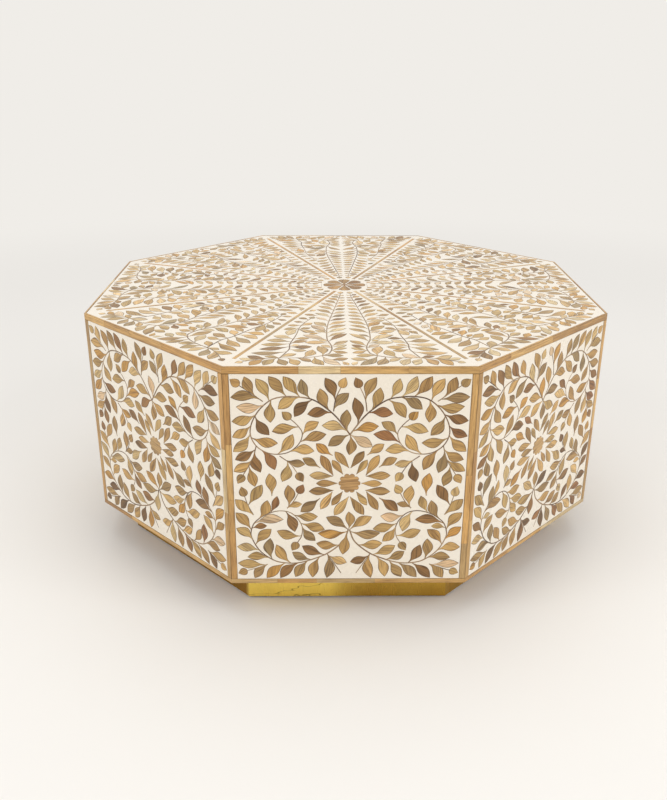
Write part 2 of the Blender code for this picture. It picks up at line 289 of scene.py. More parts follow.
def boardFinish():
    look = {"pale": tint(186, 152, 110), "dark": tint(134, 100, 64), "gloss": 0.5, "rings": (4, 46, 46),
            "pores": (30, 700, 700), "poreShare": 0.5, "relief": 0.3 * mm}
    finish = newFinish("carcassBoards")
    place = finish.place()
    rings = finish.noise(finish.stretch(place, *look["rings"]), detail=5, roughness=0.6)
    pores = finish.noise(finish.stretch(place, *look["pores"]), detail=2)
    colour = finish.mix(finish.ramp(rings, (0.3, 0.0), (0.7, 1.0)), look["dark"], look["pale"])
    dashes = finish.ramp(pores, (0.4, 0.55), (0.6, 1.0))
    finish.set(baseColor=finish.mix(look["poreShare"], colour, dashes, "MULTIPLY"))
    finish.set(roughness=rings * 0.2 + look["gloss"])
    finish.bump(rings + pores * 0.5, strength=0.25, distance=look["relief"])
    return finish.owner


def glideFinish():
    look = {"black": tint(24, 22, 20), "grey": tint(52, 48, 44), "gloss": 0.4, "speckleScale": 900,
            "relief": 0.1 * mm}
    finish = newFinish("glidePlastic")
    speckle = finish.noise(finish.place(), look["speckleScale"], detail=2)
    finish.set(baseColor=finish.mix(speckle, look["black"], look["grey"]))
    finish.set(roughness=speckle * 0.2 + look["gloss"])
    finish.bump(speckle, strength=0.2, distance=look["relief"])
    return finish.owner


resin = resinFinish()
leafWood = woodFinish("leafWood", pitch=2.0 * mm, contrast=0.54, gloss=0.34, rimShade=0.95)
stemWood = woodFinish("stemWood", pitch=1.2 * mm, contrast=0.3, gloss=0.3, rimShade=0.4)
edgingWood = woodFinish("edgingWood", pitch=2.0 * mm, contrast=0.38, gloss=0.26, rimShade=0.35)
brass = brassFinish()
boards = boardFinish()
glides = glideFinish()
print("finishes made")


# Modelling helpers

def onlySelect(piece):
    bpy.ops.object.select_all(action="DESELECT")
    piece.select_set(True)
    bpy.context.view_layer.objects.active = piece


def started(primitive, **settings):
    # a new primitive, with nothing else selected
    bpy.ops.object.select_all(action="DESELECT")
    primitive(**settings)
    return bpy.context.object


def editAll():
    bpy.ops.object.mode_set(mode="EDIT")
    bpy.ops.mesh.select_mode(type="VERT")
    bpy.ops.mesh.select_all(action="SELECT")


def leaveEdit():
    bpy.ops.object.mode_set(mode="OBJECT")


def closeShell():
    # all faces of the shape in hand point outwards
    bpy.ops.mesh.select_all(action="SELECT")
    bpy.ops.mesh.normals_make_consistent(inside=False)
    leaveEdit()


def takenApart(blank):
    # the points and faces of a blank that is cut only to be stamped
    points = np.array([tuple(vertex.co) for vertex in blank.data.vertices])
    faces = [tuple(face.vertices) for face in blank.data.polygons]
    bpy.data.objects.remove(blank)
    return points, faces


def dress(piece, name, material, slot, *nodes):
    onlySelect(piece)
    bpy.ops.object.transform_apply(location=True, rotation=True, scale=True)
    piece.name = name
    piece.data.name = name
    piece.data.materials.clear()
    piece.data.materials.append(material)
    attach(piece, "root")
    if nodes:
        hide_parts(*nodes)
    return piece


def applied(piece, kind, **settings):
    modifier = piece.modifiers.new(kind.lower(), kind)
    for key, value in settings.items():
        setattr(modifier, key, value)
    onlySelect(piece)
    bpy.ops.object.modifier_apply(modifier=modifier.name)
    return piece


def copied(piece, matrix):
    copy = piece.copy()
    copy.data = piece.data.copy()
    bpy.context.scene.collection.objects.link(copy)
    copy.matrix_world = matrix
    return copy


def sideMatrix(index):
    # X along the face, Y up and Z out of it, from the middle of the field
    turn = facetTurn(index)
    out, up = outOfFace(turn), Vector((0, 0, 1))
    matrix = Matrix((alongFace(turn), up, out)).transposed().to_4x4()
    matrix.translation = out * apothem + up * fieldCentreZ
    return matrix


def topMatrix(index):
    # X across the wedge, Y towards the table's centre and Z up, from that centre
    matrix = Matrix.Rotation(facetTurn(index), 4, "Z")
    matrix.translation = Vector((0, 0, topZ))
    return matrix


def smoothPath(points, spacing=3 * mm):
    # Catmull-Rom curve through given points, with a point about every spacing
    guides = [2 * points[0] - points[1], *points, 2 * points[-1] - points[-2]]
    path = []
    for a, b, c, d in zip(guides, guides[1:], guides[2:], guides[3:]):
        steps = max(2, round((c - b).length / spacing))
        for step in range(steps):
            t = step / steps
            bend = (2 * a - 5 * b + 4 * c - d) * t ** 2 + (3 * b - a - 3 * c + d) * t ** 3
            path.append((2 * b + (c - a) * t + bend) / 2)
    return path + [points[-1]]


class Gather:
    # collects small shapes, each with its grain, tone and rim, and makes them one mesh
    def __init__(self):
        self.parts = []
        self.faces = []
        self.count = 0

    def add(self, points, faces, grain, tone, rim):
        self.parts.append((points, grain, tone, rim))
        self.faces += [tuple(self.count + corner for corner in face) for face in faces]
        self.count += len(points)

    def made(self, name, matrix=None):
        points, grain, tone, rim = (np.concatenate(column) for column in zip(*self.parts))
        mesh = bpy.data.meshes.new(name)
        mesh.from_pydata(points.tolist(), [], self.faces)
        corners = np.zeros(len(mesh.loops), dtype=np.int32)
        mesh.loops.foreach_get("vertex_index", corners)
        mesh.uv_layers.new(name="grain").data.foreach_set("uv", grain[corners].astype(np.float32).ravel())
        colours = mesh.color_attributes.new("tone", "FLOAT_COLOR", "POINT")
        colours.data.foreach_set("color", tone.astype(np.float32).ravel())
        mesh.attributes.new("rim", "FLOAT", "POINT").data.foreach_set("value", rim.astype(np.float32))
        piece = bpy.data.objects.new(name, mesh)
        bpy.context.scene.collection.objects.link(piece)
        piece.matrix_world = matrix or Matrix()
        return piece


def shadedTone(rng, palette, spread, warmth=0.05):
    colours, weights = zip(*palette)
    red, green, blue, alpha = rng.choices(colours, weights)[0]
    light = rng.uniform(1 - spread, 1 + spread)
    warm = rng.uniform(-warmth, warmth)
    return np.array((red * light * (1 + warm), green * light, blue * light * (1 - warm), alpha))


# Chips: leaf, petal, bud, lobe and disc are each cut once and stamped over the fields

chipLook = {
    "thickness": 1.2 * mm, "chamfer": 0.1 * mm, "resinDepth": 0.2 * mm, "unevenness": 0.03 * mm,
    "widest": 17.5 * mm, "bladeRim": 0.82, "discRim": 0.95,
    # the disc's edge, against a width of 1
    "lobes": 10, "lobePoints": 6, "lobeFoot": 0.41, "lobeRise": 0.09, "lobePower": 0.7,
    # a leaf bends by a share of its length, times a draw that depends on whether it grows from a stem
    "lean": 0.085, "looseLean": 0.6, "rootedLean": (0.5, 1.3), "rootReach": 12 * mm,
    "grainTilt": 0.6, "grainShift": 30, "toneSpread": 0.09, "tipLight": 1.06, "footShade": 0.22,
    "stemDepth": 0.06 * mm, "stemPiece": 0.07, "stemSpread": 0.15, "stemRim": 0.5,
    "sideTones": [
        (tint(212, 178, 120), 9), (tint(200, 162, 100), 22), (tint(188, 150, 90), 26),
        (tint(172, 136, 82), 19), (tint(160, 130, 84), 8), (tint(146, 106, 58), 9), (tint(196, 146, 72), 9),
        (tint(124, 90, 50), 5), (tint(154, 108, 62), 5), (tint(222, 188, 146), 3),
    ],
    "topTones": [
        (tint(226, 198, 150), 18), (tint(216, 182, 128), 26), (tint(202, 168, 112), 24),
        (tint(186, 152, 102), 12), (tint(178, 152, 110), 7), (tint(208, 164, 98), 7), (tint(154, 118, 74), 6),
        (tint(232, 206, 170), 6),
    ],
    "petalTones": [
        (tint(204, 166, 106), 5), (tint(190, 152, 92), 8), (tint(178, 140, 84), 6), (tint(164, 126, 74), 2),
    ],
    "discTones": [(tint(200, 160, 104), 1), (tint(190, 150, 96), 1)],
    "stemTones": [
        (tint(158, 130, 96), 5), (tint(134, 104, 74), 4), (tint(178, 150, 116), 3), (tint(96, 70, 48), 2),
    ],
}

# Half widths along each chip from foot to tip, as shares of its length and width
profiles = {
    # a thin curved foot, a round belly and a sharp tip
    "leaf": [(0, 0.03), (0.1, 0.05), (0.2, 0.1), (0.28, 0.19), (0.36, 0.31), (0.45, 0.42), (0.54, 0.485),
             (0.61, 0.5), (0.7, 0.465), (0.79, 0.38), (0.87, 0.26), (0.94, 0.13), (1, 0)],
    # pointed at both ends and fullest beyond the middle
    "petal": [(0, 0.02), (0.12, 0.11), (0.24, 0.23), (0.36, 0.35), (0.48, 0.45), (0.6, 0.5), (0.7, 0.48),
              (0.8, 0.39), (0.89, 0.25), (0.95, 0.12), (1, 0)],
    # round shoulders close to the foot, then a point
    "bud": [(0, 0.1), (0.05, 0.26), (0.14, 0.4), (0.26, 0.48), (0.4, 0.5), (0.54, 0.46), (0.68, 0.36),
            (0.81, 0.22), (0.91, 0.1), (1, 0)],
    # straight flanks that open out to a rounded end
    "lobe": [(0, 0), (0.35, 0.25), (0.62, 0.44), (0.74, 0.495), (0.84, 0.46), (0.92, 0.37), (0.97, 0.24),
             (1, 0)],
}

# Plain convex outlines that stand for the chips where they are fitted together
fences = {
    "leaf": [(0.22, 0), (0.36, -0.32), (0.6, -0.5), (0.79, -0.38), (0.92, -0.17),
             (1, 0), (0.92, 0.17), (0.79, 0.38), (0.6, 0.5), (0.36, 0.32)],
    "petal": [(0, 0), (0.25, -0.31), (0.55, -0.5), (0.78, -0.36),
              (1, 0), (0.78, 0.36), (0.55, 0.5), (0.25, 0.31)],
    "bud": [(0, -0.3), (0.3, -0.5), (0.6, -0.42), (1, 0), (0.6, 0.42), (0.3, 0.5), (0, 0.3)],
}

# How near a leaf comes to other chips, how near the named corners of its fence come to stems, and the shares
# of its length and width that it is cut to
drawnRule = {
    "gap": 0.4 * mm, "stemGap": 0.2 * mm, "corners": slice(2, 9),
    "fits": [(1, 1), (1, 0.9), (1, 0.8), (0.92, 0.85), (0.92, 0.75), (0.84, 0.76), (0.84, 0.66), (0.74, 0.66),
             (0.64, 0.6), (0.54, 0.55)],
}
fillRule = {
    "gap": 0.6 * mm, "stemGap": 0.5 * mm, "corners": slice(0, 10), "fits": [(1, 1), (0.9, 0.95), (0.8, 0.88)],
}


def bladeOutline(profile):
    right = [(s, -half) for s, half in profile]
    left = [(s, half) for s, half in reversed(profile[:-1]) if half]
    return right + left


def lobedOutline(look):
    lobes = look["lobes"]
    count = lobes * look["lobePoints"]
    outline = []
    for k in range(count):
        angle = k * math.tau / count
        radius = look["lobeFoot"] + look["lobeRise"] * abs(math.cos(angle * lobes / 2)) ** look["lobePower"]
        outline.append((0.5 + radius * math.cos(angle), radius * math.sin(angle)))
    return outline


def cutChip(outline, rimShare):
    # a disc is drawn out to the outline, raised to a shoulder and a face, and drawn in round that face
    circle = bpy.ops.mesh.primitive_circle_add
    blank = started(circle, vertices=len(outline), radius=1, fill_type="NGON")
    for vertex, (s, t) in zip(blank.data.vertices, outline):
        vertex.co = (s, t, 0)
    editAll()
    for rise in (0.8, 0.2):
        bpy.ops.mesh.extrude_region_move(TRANSFORM_OT_translate={"value": (0, 0, rise)})
    lengthShare = (1 + rimShare) / 2
    bpy.ops.transform.resize(value=(lengthShare, rimShare, 1), center_override=(0.55, 0, 0))
    closeShell()
    return takenApart(blank)


chips = {name: cutChip(bladeOutline(profile), chipLook["bladeRim"]) for name, profile in profiles.items()}
chips["disc"] = cutChip(lobedOutline(chipLook), chipLook["discRim"])
print("chips cut:", {name: len(faces) for name, (points, faces) in chips.items()}, "faces")


def fenced(corners):
    # a convex outline: its corners, and the outward normal and the offset of each edge
    edges = np.roll(corners, -1, axis=0) - corners
    normals = np.column_stack((edges[:, 1], -edges[:, 0])) / np.linalg.norm(edges, axis=1)[:, None]
    return corners, normals, (corners * normals).sum(axis=1)


def edgeDistances(fence, points):
    # how far each point lies outside each edge
    normals, offsets = fence[1:]
    return points @ normals.T - offsets


class Inlay:
    # the chips and stems of one field, in the field's own flat frame
    def __init__(self, seed, tones):
        self.rng = random.Random(seed)
        self.tones = tones
        self.leaves = Gather()
        self.stems = Gather()
        self.taken = []
        self.spots = np.zeros((0, 2))
        self.runs = np.zeros((0, 2))

    def clear(self, fence, middle, reach, gap):
        for other, otherMiddle, otherReach in self.taken:
            if (otherMiddle - middle).length < reach + otherReach + gap:
                apart = edgeDistances(fence, other[0]).min(axis=0).max()
                apart = max(apart, edgeDistances(other, fence[0]).min(axis=0).max())
                if apart < gap:
                    return False
        return True

    def clearOfStems(self, fence, rule):
        body = fenced(fence[0][rule["corners"]])
        return edgeDistances(body, self.spots).max(axis=1).min() > rule["stemGap"]

    def fence(self, kind, foot, run, width, bend=0.0):
        # the chip's outline, and the middle and reach of a circle about it
        s, t = np.array(fences[kind]).T
        across = Vector((-run.y, run.x)).normalized()
        drift = t * width + bend * 4 * s * (1 - s)
        corners = np.array(foot) + np.outer(s, run) + np.outer(drift, across)
        return fenced(corners), foot + run * 0.5, run.length * 0.6

    def sureChip(self, kind, foot, tip, width, tones=None):
        # a chip that others keep clear of
        self.taken.append(self.fence(kind, foot, tip - foot, width))
        self.stamp(kind, foot, tip, width, tones=tones)

    def leaf(self, foot, tip, share, rule, room=None, rooted=True):
        # a leaf goes off the nearest stem along it, then turns away from it; where it would run into its
        # neighbours it is bent back, cut smaller, or left out
        lean = self.rng.uniform(-chipLook["looseLean"], chipLook["looseLean"])
        gaps = np.linalg.norm(self.spots - np.array(foot), axis=1)
        nearest = gaps.argmin()
        if rooted and gaps[nearest] < chipLook["rootReach"]:
            foot, along = Vector(self.spots[nearest]), Vector(self.runs[nearest])
            way = (tip - foot).cross(along) * (tip - foot).dot(along)
            lean = math.copysign(self.rng.uniform(*chipLook["rootedLean"]), way)
        width = min((tip - foot).length * share, chipLook["widest"])
        bend = lean * (tip - foot).length * chipLook["lean"]
        # the thin foot of a loose leaf keeps clear of the rest too
        kind = "leaf" if rooted else "petal"
        for longShare, wideShare in rule["fits"]:
            run = (tip - foot) * longShare
            for drift in (bend, 0, -bend):
                fence, middle, reach = self.fence(kind, foot, run, width * wideShare, drift)
                if room and not all(room(*corner) for corner in fence[0]):
                    continue
                if self.clearOfStems(fence, rule) and self.clear(fence, middle, reach, rule["gap"]):
                    self.taken.append((fence, middle, reach))
                    self.stamp("leaf", foot, foot + run, width * wideShare, drift)
                    return foot, foot + run, rooted
        return None

    def fill(self, look, room):
        # more leaves off the stems, then loose ones in the gaps, the largest first; gives their strokes
        strokes = []
        for kind in ("rooted", "loose"):
            for length in look[kind]:
                for _ in range(look["tries"]):
                    k = self.rng.randrange(len(self.spots))
                    foot, along = Vector(self.spots[k]), Vector(self.runs[k]).normalized()
                    if kind == "loose":
                        foot = Vector([self.rng.uniform(*span) * mm for span in look["field"]])
                    turn = math.radians(self.rng.uniform(*look["splay"])) * self.rng.choice((-1, 1))
                    tip = foot + Matrix.Rotation(turn, 2) @ along * length * mm
                    strokes.append(self.leaf(foot, tip, look["share"], fillRule, room, kind == "rooted"))
        return [stroke for stroke in strokes if stroke]

    def stamp(self, kind, foot, tip, width, bend=0.0, tones=None):
        # s runs from foot to tip and t across; h is 0 at the back, 0.8 at the shoulder and 1 on the face
        look = chipLook
        points, faces = chips[kind]
        s, t, h = points.T
        run = tip - foot
        across = Vector((-run.y, run.x)).normalized()
        drift = bend * 4 * s * (1 - s) + t * width
        levels = np.select([h > 0.9, h > 0.5], [0.0, -look["chamfer"]], -look["thickness"])
        height = levels - self.rng.uniform(0, 1) * look["unevenness"]
        x = foot.x + run.x * s + across.x * drift
        y = foot.y + run.y * s + across.y * drift
        tilt = self.rng.uniform(-look["grainTilt"], look["grainTilt"])
        along, sideways = s * run.length, t * width
        u = math.cos(tilt) * along - math.sin(tilt) * sideways + self.rng.uniform(0, look["grainShift"])
        v = math.sin(tilt) * along + math.cos(tilt) * sideways + self.rng.uniform(0, look["grainShift"])
        tone = shadedTone(self.rng, tones or self.tones, look["toneSpread"])
        shade = look["tipLight"] - self.rng.uniform(0.0, look["footShade"]) * (1 - s)
        tones = np.column_stack([tone[k] * shade for k in range(3)] + [np.ones(len(s))])
        # the sloped edge of the chip takes the dark rim: a glue line with painted shade
        rim = np.where(h > 0.9, 0.0, 1.0)
        self.leaves.add(np.column_stack((x, y, height)), faces, np.column_stack((u, v)), tones, rim)

    def stem(self, path, startWidth, endWidth):
        # a flat strip let in along the path, of pieces in differing tones
        look = chipLook
        count = len(path)
        runs = [after - before for before, after in zip(path[:1] + path, path[1:] + path[-1:])]
        self.spots = np.vstack((self.spots, path))
        self.runs = np.vstack((self.runs, runs))
        length = sum((b - a).length for a, b in zip(path, path[1:]))
        pieces = 2 + int(length / look["stemPiece"])
        tones = [shadedTone(self.rng, look["stemTones"], look["stemSpread"]) for _ in range(pieces)]
        offset = self.rng.uniform(0, look["grainShift"])
        points, grain, colours = [], [], []
        travelled = 0.0
        for k, point in enumerate(path):
            along = path[min(k + 1, count - 1)] - path[max(k - 1, 0)]
            travelled += (point - path[max(k - 1, 0)]).length
            share = travelled / length
            half = (startWidth + (endWidth - startWidth) * share) / 2
            across = Vector((-along.y, along.x)).normalized() * half
            step = share * (len(tones) - 1.001)  # never quite the last tone, which others run into
            blend = clamped((step % 1 - 0.4) * 5)  # each tone runs into the next over a fifth of a piece
            colour = tones[int(step)] * (1 - blend) + tones[int(step) + 1] * blend
            for way, depth in ((1, "stemDepth"), (-1, "stemDepth"), (-1, "thickness"), (1, "thickness")):
                points.append((point.x + across.x * way, point.y + across.y * way, -look[depth]))
                grain.append((travelled + offset, half * way + offset))
                colours.append(colour)
        faces = [(0, 3, 2, 1), tuple(4 * (count - 1) + k for k in range(4))]
        for ring in range(0, 4 * (count - 1), 4):
            for k in range(4):
                after = (k + 1) % 4
                faces.append((ring + k, ring + after, ring + 4 + after, ring + 4 + k))
        rim = np.full(len(points), look["stemRim"])
        self.stems.add(np.array(points), faces, np.array(grain), np.array(colours), rim)


# Side motif: a flower with sprays over and under it, and a leafy scroll in each quarter.
# Millimetres from the middle of the field; the left half is drawn and mirrored.

sideMotif = {
    "seed": 100, "leafWidth": 0.47, "widthShares": (0.94, 1.06), "disc": 34.0, "discMiddle": (0, -3),
    "bud": (17.0, 14.0), "budSink": 1.0, "stemWidth": (2.3, 1.3), "twigWidth": (1.6, 1.2),
    "tipJitter": 1.1, "footJitter": 0.5, "margin": 1.2, "middleGap": 0.5,
    # foot, tip and width share
    "petals": [
        (-1, 23.5, -22, 51.5, 0.38), (-1, -26, -23, -60, 0.37), (-18, -3, -51.5, -3, 0.38),
        (-10.5, 12.5, -26.5, 37.5, 0.38), (-24.5, 10, -44.5, 45, 0.36), (-25, 9.5, -62, 11, 0.39),
        (-24.5, -15.5, -62.5, -17, 0.38), (-26, -17.5, -44.5, -49.5, 0.37), (-10.5, -17.5, -27, -42.5, 0.38),
    ],
    "fill": {"rooted": (36, 31), "loose": (), "share": 0.47, "splay": (30, 85), "tries": 150},
    "midLeaves": [
        (0, 86, -5, 122), (8, 100, 5, 140), (0, 78, 0, 45), (-2, -86, 0, -52), (-2, -92, -9, -132),
        (-21, 121, -1, 147), (26, 127, 1, 151),
    ],
    "sprays": [(-2, 88, -43, 94), (-1, 80, -34, 60), (-5, -85, -37, -62), (-5, -89, -49, -92)],
    "scrolls": [
        [(0, 80), (-20, 108), (-38, 125), (-56, 137), (-75, 141), (-95, 142), (-115, 138), (-130, 127),
         (-141, 113), (-149, 95), (-150, 78), (-142, 61), (-127, 50), (-110, 47), (-92, 51), (-77, 65),
         (-72, 82), (-79, 95), (-90, 106)],
        [(-1, -86), (-9, -107), (-29, -126), (-49, -137), (-79, -147), (-104, -147), (-122, -141),
         (-142, -124), (-154, -100), (-154, -86), (-148, -72), (-132, -59), (-112, -52), (-94, -54),
         (-82, -64), (-74, -80), (-75, -97), (-82, -110)],
    ],
    "twigs": [
        [(-130, 134), (-148, 148), (-165, 160)], [(-25, 118), (-22, 138), (-14, 157)],
        [(-142, 61), (-149, 37), (-164, 11)], [(-107, 44), (-91, 31), (-80, 14)],
        [(-130, -150), (-148, -157), (-164, -162)], [(-150, -59), (-158, -42), (-163, -25)],
        [(-97, -47), (-87, -35), (-79, -20)],
    ],
    "bareTwigs": [[(-34, -131), (-21, -152), (-12, -167)]],
    "leaves": [
        (-141, 141, -157, 174), (-123, 140, -140, 171), (-94, 142, -120, 174), (-74, 142, -99, 174),
        (-57, 141, -73, 171), (-29, 121, -45, 156), (-23, 134, -38, 173), (-31, -132, -3, -147),
        (-135, 138, -178, 141), (-129, 129, -170, 125), (-142, 114, -178, 102), (-150, 95, -178, 76),
        (-154, 79, -178, 51), (-143, 55, -174, 37), (-149, 37, -179, 17), (-142, 52, -136, 15),
        (-134, 54, -114, 20), (-150, 25, -145, -8), (-99, 30, -103, 0), (-97, 40, -69, 29),
        (-45, 24, -73, 41), (-74, 139, -107, 122), (-55, 136, -84, 108), (-117, 134, -119, 99),
        (-139, 110, -122, 79), (-147, 75, -109, 65), (-29, 112, -64, 114), (-79, 90, -118, 85),
        (-70, 78, -47, 101), (-74, 65, -35, 81), (-110, 49, -86, 81), (-92, 49, -53, 53),
        (-26, 45, -52, 65), (-154, -104, -180, -82), (-155, -85, -179, -54), (-150, -59, -179, -32),
        (-144, -124, -180, -117), (-129, -141, -163, -137), (-135, -145, -180, -148),
        (-130, -151, -152, -178), (-102, -149, -133, -177), (-79, -149, -110, -176),
        (-64, -145, -85, -175), (-44, -137, -59, -175), (-34, -132, -36, -178),
        (-147, -112, -123, -85), (-120, -141, -124, -102), (-94, -145, -115, -114),
        (-60, -139, -90, -126), (-40, -130, -75, -116), (-17, -111, -53, -110), (-85, -59, -48, -61),
        (-74, -74, -38, -85), (-74, -80, -54, -107), (-99, -56, -85, -90), (-78, -96, -115, -87),
        (-147, -75, -103, -67), (-145, -64, -128, -32), (-125, -54, -112, -25), (-98, -42, -95, -6),
        (-150, -40, -135, -6), (-120, -25, -124, 14), (-97, -47, -74, -39), (-46, -29, -77, -53),
    ],
}

sideLimit = Vector((fieldHalfWidth, fieldHalfHeight)) - Vector((1, 1)) * sideMotif["margin"] * mm


def sideRoom(x, y):
    # the left half of the field
    return -sideLimit.x < x < -sideMotif["middleGap"] * mm and abs(y) < sideLimit.y


def sideInlay(index, fill):
    motif = sideMotif
    inlay = Inlay(motif["seed"] + index, chipLook["sideTones"])
    rng = inlay.rng

    def kept(x, y):
        limit = sideLimit
        return Vector((max(-limit.x, min(limit.x, x)), max(-limit.y, min(limit.y, y))))

    def ends(stroke, way):
        x, y, tipX, tipY = (value * mm for value in stroke[:4])
        near, far = motif["footJitter"] * mm, motif["tipJitter"] * mm
        return (kept(x * way + rng.uniform(-near, near), y + rng.uniform(-near, near)),
                kept(tipX * way + rng.uniform(-far, far), tipY + rng.uniform(-far, far)))

    def twig(points, way, widths, bud):
        path = smoothPath([Vector((x * way, y)) * mm for x, y in points])
        inlay.stem(path, widths[0] * mm, widths[1] * mm)
        if bud:
            heading = (path[-1] - path[-3]).normalized()
            length, width = motif["bud"]
            tip = kept(*(path[-1] + heading * length * mm))
            inlay.sureChip("bud", path[-1] - heading * motif["budSink"] * mm, tip, width * mm)

    centre = Vector(motif["discMiddle"]) * mm
    half = Vector((motif["disc"] / 2 * mm, 0))
    inlay.stamp("disc", centre - half, centre + half, motif["disc"] * mm, tones=chipLook["discTones"])
    for way in (1, -1):
        for points in motif["twigs"]:
            twig(points, way, motif["twigWidth"], True)
        for points in motif["bareTwigs"]:
            twig(points, way, motif["twigWidth"], False)
        for points in motif["scrolls"]:
            twig(points, way, motif["stemWidth"], True)
    for stroke in motif["petals"]:
        for way in (1, -1):
            foot, tip = ends(stroke, way)
            inlay.sureChip("petal", foot, tip, (tip - foot).length * stroke[4], chipLook["petalTones"])
    for stroke in motif["midLeaves"]:
        inlay.leaf(*ends(stroke, 1), motif["leafWidth"], drawnRule)
    for stroke in motif["sprays"] + motif["leaves"]:
        for way in (1, -1):
            start, end = ends(stroke, way)
            inlay.leaf(start, end, motif["leafWidth"] * rng.uniform(*motif["widthShares"]), drawnRule)
    for stroke in fill:
        for way in (1, -1):
            inlay.leaf(*ends(stroke, way), motif["fill"]["share"], fillRule)
    return inlay


# Top motif: on each wedge two leafy stems run in from the rim to the rosette, each with a side stem and a
# stem along the rim. Millimetres across the wedge and out from the centre; the right half is drawn and
# mirrored.

topMotif = {
    "seed": 200, "leafWidth": 0.49, "bud": (13.0, 11.0), "stemWidth": (2.0, 1.3), "tipJitter": 1.0,
    "footJitter": 0.4, "margin": 2.0,
    "stems": [
        [(31, 398), (27, 377), (29, 355), (34, 333), (35, 300), (34, 265), (31, 235), (27, 205), (23, 175),
         (19, 145), (15, 115), (11, 87), (9, 62)],
        [(106, 418), (99, 398), (93, 378), (93, 358), (90, 338), (86, 318), (83, 298), (81, 278), (77, 258),
         (70, 238), (62, 220)],
        [(31, 398), (42, 408), (60, 415), (85, 418), (112, 418), (138, 424), (160, 434)],
    ],
    # leaves by twos along the first stem: the inner ones reach the middle line, the outer ones stand only
    # where the wedge is narrow, and both stand closer together within a distance of the centre
    "pairs": {"start": 0.6, "pitch": 21.5, "splay": 52, "middleGap": 1.6, "width": 13.0, "widest": 0.56,
              "outer": 38, "outerFrom": 248, "gradeFrom": 160, "leastGrade": 0.35},
    "leaves": [
        (31, 427, 2, 420), (35, 416, 15, 449), (54, 410, 40, 449), (82, 418, 56, 436), (95, 418, 78, 450),
        (108, 419, 129, 450), (122, 420, 156, 408), (126, 421, 150, 450), (42, 409, 10, 408),
        (38, 404, 4, 392), (108, 415, 80, 399), (73, 414, 56, 381), (44, 407, 48, 364), (93, 378, 66, 386),
        (92, 366, 58, 367), (31, 350, 70, 347), (94, 353, 138, 356), (94, 366, 139, 379),
        (97, 390, 151, 396), (91, 343, 130, 336), (88, 330, 121, 313), (35, 336, 74, 308),
        (82, 276, 98, 311), (81, 281, 53, 293), (36, 292, 61, 259), (34, 268, 56, 240), (80, 272, 106, 281),
        (88, 330, 62, 326), (77, 258, 101, 257), (71, 241, 93, 236), (66, 228, 84, 215),
        (142, 425, 167, 419), (147, 429, 172, 450), (12, 432, 3, 449),
    ],
    "fill": {"rooted": (34, 30, 26), "loose": (32, 28, 25, 22), "field": ((0, 185), (-452, -50)),
             "share": 0.48, "splay": (25, 110), "tries": 400},
}

dividerLow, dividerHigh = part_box("top_divider_1")
sine, cosine = math.sin(halfSector), math.cos(halfSector)
dividerWidth = 2 * (dividerHigh.x * cosine + dividerLow.y * sine) / math.cos(2 * halfSector)
dividerOuter = (dividerHigh.x - dividerWidth / 2 * cosine) / sine
dividerInner = (dividerLow.x + dividerWidth / 2 * cosine) / sine


def topRoom(x, y):
    # the right half of a wedge, clear of the rim, the rosette, the divider and the middle line
    margin = topMotif["margin"] * mm
    inset = margin + (dividerWidth / 2 if -y < dividerOuter * cosine + margin else 0)
    return (rosetteApothem + margin < -y < coreApothem - margin / 2 and margin / 2 < x
            and x * cosine + y * sine < -inset)


def topInlay(index, fill):
    motif = topMotif
    inlay = Inlay(motif["seed"] + index, chipLook["topTones"])
    rng = inlay.rng

    def jittered(spot, way, amount):
        shift = Vector((rng.uniform(-amount, amount), rng.uniform(-amount, amount))) * mm
        return Vector((spot.x * way, spot.y)) + shift

    def draw(foot, tip, share, rule, rooted=True):
        for way in (1, -1):
            start = jittered(foot, way, motif["footJitter"])
            end = jittered(tip, way, motif["tipJitter"])
            inlay.leaf(start, end, share, rule, lambda x, y: topRoom(x * way, y), rooted)

    lines = [smoothPath([Vector((x, -out)) * mm for x, out in points]) for points in motif["stems"]]
    for line in lines:
        for way in (1, -1):
            path = [Vector((spot.x * way, spot.y)) for spot in line]
            inlay.stem(path, *(width * mm for width in motif["stemWidth"]))
            length, width = (size * mm for size in motif["bud"])
            heading = (path[-1] - path[-3]).normalized()
            inlay.sureChip("bud", path[-1], path[-1] + heading * length, width)

    for x, out, tipX, tipOut in motif["leaves"]:
        draw(Vector((x, -out)) * mm, Vector((tipX, -tipOut)) * mm, motif["leafWidth"], drawnRule)
    pairs = motif["pairs"]
    splay, least = math.radians(pairs["splay"]), pairs["leastGrade"]
    ahead = pairs["pitch"] * pairs["start"] * mm
    for start, end in zip(lines[0], lines[0][1:]):
        run = end - start
        while ahead <= run.length:
            foot = start + run * (ahead / run.length)
            grade = min(1.0, least - (1 - least) * foot.y / (pairs["gradeFrom"] * mm))
            inward, outward = (Matrix.Rotation(turn, 2) @ run.normalized() for turn in (splay, -splay))
            reaches = [(inward, (foot.x - pairs["middleGap"] * mm) / -inward.x)]
            if -foot.y < pairs["outerFrom"] * mm:
                reach = pairs["outer"] * mm
                while not topRoom(*(foot + outward * reach)):
                    reach -= mm
                reaches.append((outward, reach))
            for heading, reach in reaches:
                share = min(pairs["widest"], pairs["width"] * mm / reach)
                draw(foot, foot + heading * reach, share, drawnRule)
            ahead += pairs["pitch"] * grade * mm
        ahead -= run.length
    for foot, tip, rooted in fill:
        draw(foot, tip, motif["fill"]["share"], fillRule, rooted)
    return inlay


# Dividers and the rest of the edging are short wooden blocks let in end to end

